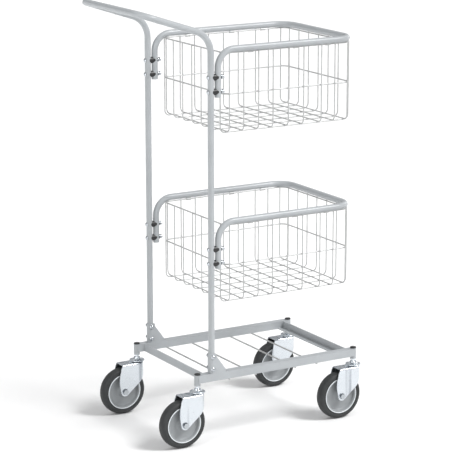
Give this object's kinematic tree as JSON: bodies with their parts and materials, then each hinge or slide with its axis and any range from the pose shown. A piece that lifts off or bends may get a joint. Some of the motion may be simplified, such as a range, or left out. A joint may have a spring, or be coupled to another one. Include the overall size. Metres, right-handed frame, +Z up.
{
  "type": "shopping trolley",
  "caption": "Tube-framed shopping trolley with two bolted-on wire baskets, one above the other, a sloping bar handle and swivel castors.",
  "frame": {"origin": "on the floor under the middle of the whole trolley's box", "axes": "+X the way the trolley is pushed, away from the handle; +Y its left side; +Z up"},
  "size_m": [0.6478, 0.374, 1.107],
  "materials": {
    "powder_coat": "light blue-grey powder coat, satin",
    "zinc_wire": "bright zinc plated wire",
    "bright_zinc": "bright zinc plated steel",
    "wheel_plastic": "grey moulded wheel centre, satin",
    "tyre_rubber": "dark grey rubber, matt",
    "black_plastic": "black moulded plastic, satin"
  },
  "bodies": {
    "frame": {"handle_frame": "powder_coat", "left_rail": "powder_coat", "right_rail": "powder_coat", "rear_cross_angle": "powder_coat", "front_cross_angle": "powder_coat", "shelf_rods": "zinc_wire", "corner_sockets": "powder_coat", "socket_caps": "black_plastic", "left_foot_bracket": "powder_coat", "right_foot_bracket": "powder_coat", "bracket_bolts": "bright_zinc", "bracket_nuts": "bright_zinc", "clamp_bolts": "bright_zinc", "clamp_nuts": "bright_zinc", "clamp_spacers": "black_plastic", "castor_stems": "bright_zinc", "castor_cups": "bright_zinc", "upper_frame_tube": "powder_coat", "upper_rim_wire": "zinc_wire", "upper_middle_ring": "zinc_wire", "upper_cross_wires": "zinc_wire", "upper_long_wires": "zinc_wire", "upper_clips": "zinc_wire", "lower_frame_tube": "powder_coat", "lower_rim_wire": "zinc_wire", "lower_middle_ring": "zinc_wire", "lower_cross_wires": "zinc_wire", "lower_long_wires": "zinc_wire", "lower_clips": "zinc_wire"},
    "rear_left_swivel": {"rear_left_fork": "bright_zinc", "rear_left_balls": "bright_zinc", "rear_left_axle_bolt": "bright_zinc", "rear_left_axle_nut": "bright_zinc", "rear_left_axle_sleeve": "bright_zinc"},
    "rear_left_wheel": {"rear_left_rim": "wheel_plastic", "rear_left_tyre": "tyre_rubber"},
    "rear_right_swivel": {"rear_right_fork": "bright_zinc", "rear_right_balls": "bright_zinc", "rear_right_axle_bolt": "bright_zinc", "rear_right_axle_nut": "bright_zinc", "rear_right_axle_sleeve": "bright_zinc"},
    "rear_right_wheel": {"rear_right_rim": "wheel_plastic", "rear_right_tyre": "tyre_rubber"},
    "front_left_swivel": {"front_left_fork": "bright_zinc", "front_left_balls": "bright_zinc", "front_left_axle_bolt": "bright_zinc", "front_left_axle_nut": "bright_zinc", "front_left_axle_sleeve": "bright_zinc"},
    "front_left_wheel": {"front_left_rim": "wheel_plastic", "front_left_tyre": "tyre_rubber"},
    "front_right_swivel": {"front_right_fork": "bright_zinc", "front_right_balls": "bright_zinc", "front_right_axle_bolt": "bright_zinc", "front_right_axle_nut": "bright_zinc", "front_right_axle_sleeve": "bright_zinc"},
    "front_right_wheel": {"front_right_rim": "wheel_plastic", "front_right_tyre": "tyre_rubber"}
  },
  "joints": [
    {"name": "rear_left_swivel_turn", "type": "hinge", "parent": "frame", "child": "rear_left_swivel", "pos_m": [-0.1661, 0.161, 0.136], "axis": [0, 0, 1], "continuous": true},
    {"name": "rear_left_wheel_spin", "type": "hinge", "parent": "rear_left_swivel", "child": "rear_left_wheel", "pos_m": [-0.2111, 0.161, 0.0625], "axis": [0, 1, 0], "continuous": true},
    {"name": "rear_right_swivel_turn", "type": "hinge", "parent": "frame", "child": "rear_right_swivel", "pos_m": [-0.1661, -0.161, 0.136], "axis": [0, 0, 1], "continuous": true},
    {"name": "rear_right_wheel_spin", "type": "hinge", "parent": "rear_right_swivel", "child": "rear_right_wheel", "pos_m": [-0.2111, -0.161, 0.0625], "axis": [0, 1, 0], "continuous": true},
    {"name": "front_left_swivel_turn", "type": "hinge", "parent": "frame", "child": "front_left_swivel", "pos_m": [0.3039, 0.161, 0.136], "axis": [0, 0, 1], "continuous": true},
    {"name": "front_left_wheel_spin", "type": "hinge", "parent": "front_left_swivel", "child": "front_left_wheel", "pos_m": [0.2589, 0.161, 0.0625], "axis": [0, 1, 0], "continuous": true},
    {"name": "front_right_swivel_turn", "type": "hinge", "parent": "frame", "child": "front_right_swivel", "pos_m": [0.3039, -0.161, 0.136], "axis": [0, 0, 1], "continuous": true},
    {"name": "front_right_wheel_spin", "type": "hinge", "parent": "front_right_swivel", "child": "front_right_wheel", "pos_m": [0.2589, -0.161, 0.0625], "axis": [0, 1, 0], "continuous": true}
  ]
}
